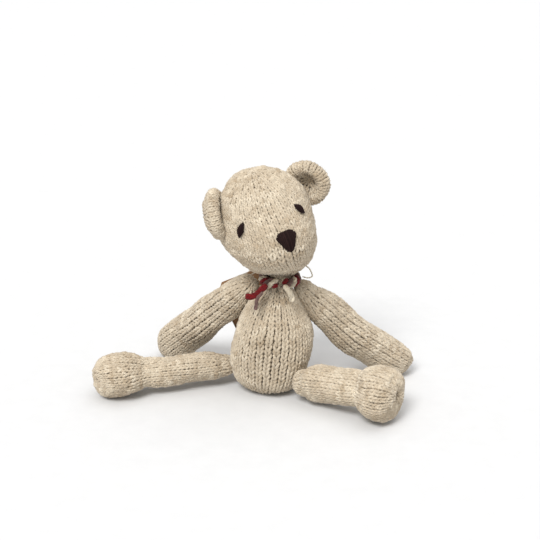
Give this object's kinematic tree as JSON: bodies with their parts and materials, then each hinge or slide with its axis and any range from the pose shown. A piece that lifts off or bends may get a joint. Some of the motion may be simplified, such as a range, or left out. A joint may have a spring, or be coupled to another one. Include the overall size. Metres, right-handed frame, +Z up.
{
  "type": "jointed knitted teddy bear",
  "caption": "Hand-knitted sitting bear with cord-jointed limbs and head, twisted yarn collar and a blank paper tag behind its back.",
  "frame": {"origin": "middle of the flat seat under the torso, on the surface the bear sits on", "axes": "+Z up, the bear's front faces -Y and its left arm reaches to +X"},
  "size_m": [0.2543, 0.1553, 0.1892],
  "materials": {
    "cream_wool": "hand-spun wool in stockinette",
    "stuffing": "carded polyester fill",
    "wood": "turned, oiled",
    "leather": "plain",
    "waxed_cord": "waxed linen",
    "dark_yarn": "satin stitches",
    "red_yarn": "plied wool",
    "pale_yarn": "plied wool",
    "mauve_yarn": "plied wool",
    "kraft_card": "uncoated",
    "brass": "satin",
    "cotton_string": "twisted cotton"
  },
  "bodies": {
    "torso": {"torso_knit": "cream_wool", "torso_stuffing": "stuffing", "neck_anchor_button": "wood", "arm_joint_cord": "waxed_cord", "leg_joint_cord": "waxed_cord", "neck_joint_cord": "waxed_cord", "collar_red": "red_yarn", "collar_cream": "pale_yarn", "collar_mauve": "mauve_yarn", "collar_red_tail": "red_yarn", "collar_mauve_tail": "mauve_yarn", "collar_cream_tail": "pale_yarn", "tag_string": "cotton_string"},
    "neck_swivel": {"head_washer": "leather"},
    "neck_tilt": {"head_button": "wood"},
    "head": {"head_knit": "cream_wool", "head_stuffing": "stuffing", "right_eye": "dark_yarn", "left_eye": "dark_yarn", "nose": "dark_yarn", "right_ear_knit": "cream_wool", "left_ear_knit": "cream_wool"},
    "tag": {"tag_card": "kraft_card", "tag_eyelet": "brass"},
    "right_shoulder": {"right_arm_button": "wood"},
    "right_arm": {"right_arm_knit": "cream_wool", "right_arm_stuffing": "stuffing"},
    "left_shoulder": {"left_arm_button": "wood"},
    "left_arm": {"left_arm_knit": "cream_wool", "left_arm_stuffing": "stuffing"},
    "right_hip": {"right_leg_button": "wood"},
    "right_leg": {"right_leg_knit": "cream_wool", "right_leg_stuffing": "stuffing"},
    "left_hip": {"left_leg_button": "wood"},
    "left_leg": {"left_leg_knit": "cream_wool", "left_leg_stuffing": "stuffing"}
  },
  "joints": [
    {"name": "right_arm_sweep_back", "type": "hinge", "parent": "torso", "child": "right_shoulder", "pos_m": [-0.0162, 0.008, 0.084], "axis": [0, 0, -1], "range_deg": [-6, 4], "deforming": ["arm_joint_cord", "tag_string"]},
    {"name": "right_arm_lift", "type": "hinge", "parent": "right_shoulder", "child": "right_arm", "pos_m": [-0.0162, 0.008, 0.084], "axis": [0.6562, 0.7546, 0], "range_deg": [-2, 48], "deforming": ["arm_joint_cord", "tag_string"]},
    {"name": "left_arm_sweep_back", "type": "hinge", "parent": "torso", "child": "left_shoulder", "pos_m": [0.0309, 0.008, 0.0836], "axis": [0, 0, 1], "range_deg": [-6, 28], "deforming": ["arm_joint_cord", "tag_string"]},
    {"name": "left_arm_lift", "type": "hinge", "parent": "left_shoulder", "child": "left_arm", "pos_m": [0.0309, 0.008, 0.0836], "axis": [0.2736, -0.9618, 0], "range_deg": [-2, 43], "deforming": ["arm_joint_cord", "tag_string"]},
    {"name": "right_leg_close", "type": "hinge", "parent": "torso", "child": "right_hip", "pos_m": [-0.0345, 0.008, 0.0165], "axis": [0, 0, 1], "range_deg": [-10, 30], "deforming": ["leg_joint_cord"]},
    {"name": "right_leg_raise", "type": "hinge", "parent": "right_hip", "child": "right_leg", "pos_m": [-0.0345, 0.008, 0.0165], "axis": [-0.2481, 0.9687, 0], "range_deg": [-2, 55], "deforming": ["leg_joint_cord"]},
    {"name": "left_leg_close", "type": "hinge", "parent": "torso", "child": "left_hip", "pos_m": [0.0275, -0.023, 0.016], "axis": [0, 0, -1], "range_deg": [-10, 12], "deforming": ["leg_joint_cord"]},
    {"name": "left_leg_raise", "type": "hinge", "parent": "left_hip", "child": "left_leg", "pos_m": [0.0275, -0.023, 0.016], "axis": [-0.4935, -0.8698, 0], "range_deg": [-2, 50], "deforming": ["leg_joint_cord"]},
    {"name": "head_turn", "type": "hinge", "parent": "torso", "child": "neck_swivel", "pos_m": [0.009, 0, 0.1025], "axis": [0, 0, 1], "range_deg": [-60, 60], "deforming": ["neck_joint_cord", "collar_red", "collar_cream", "collar_mauve", "collar_red_tail", "collar_mauve_tail", "collar_cream_tail", "tag_string"]},
    {"name": "head_tilt", "type": "hinge", "parent": "neck_swivel", "child": "neck_tilt", "pos_m": [0.009, 0, 0.1025], "axis": [0, 1, 0], "range_deg": [-12, 28], "deforming": ["neck_joint_cord", "collar_red", "collar_cream", "collar_mauve", "collar_red_tail", "collar_mauve_tail", "collar_cream_tail", "tag_string"]},
    {"name": "head_nod", "type": "hinge", "parent": "neck_tilt", "child": "head", "pos_m": [0.009, 0, 0.1025], "axis": [1, 0, 0], "range_deg": [-12, 20], "deforming": ["neck_joint_cord", "collar_red", "collar_cream", "collar_mauve", "collar_red_tail", "collar_mauve_tail", "collar_cream_tail", "tag_string"]},
    {"name": "tag_swing", "type": "hinge", "parent": "torso", "child": "tag", "pos_m": [-0.02226, 0.04718, 0.07246], "axis": [-0.2419, -0.9703, 0], "range_deg": [-8, 14], "deforming": ["tag_string"]}
  ]
}
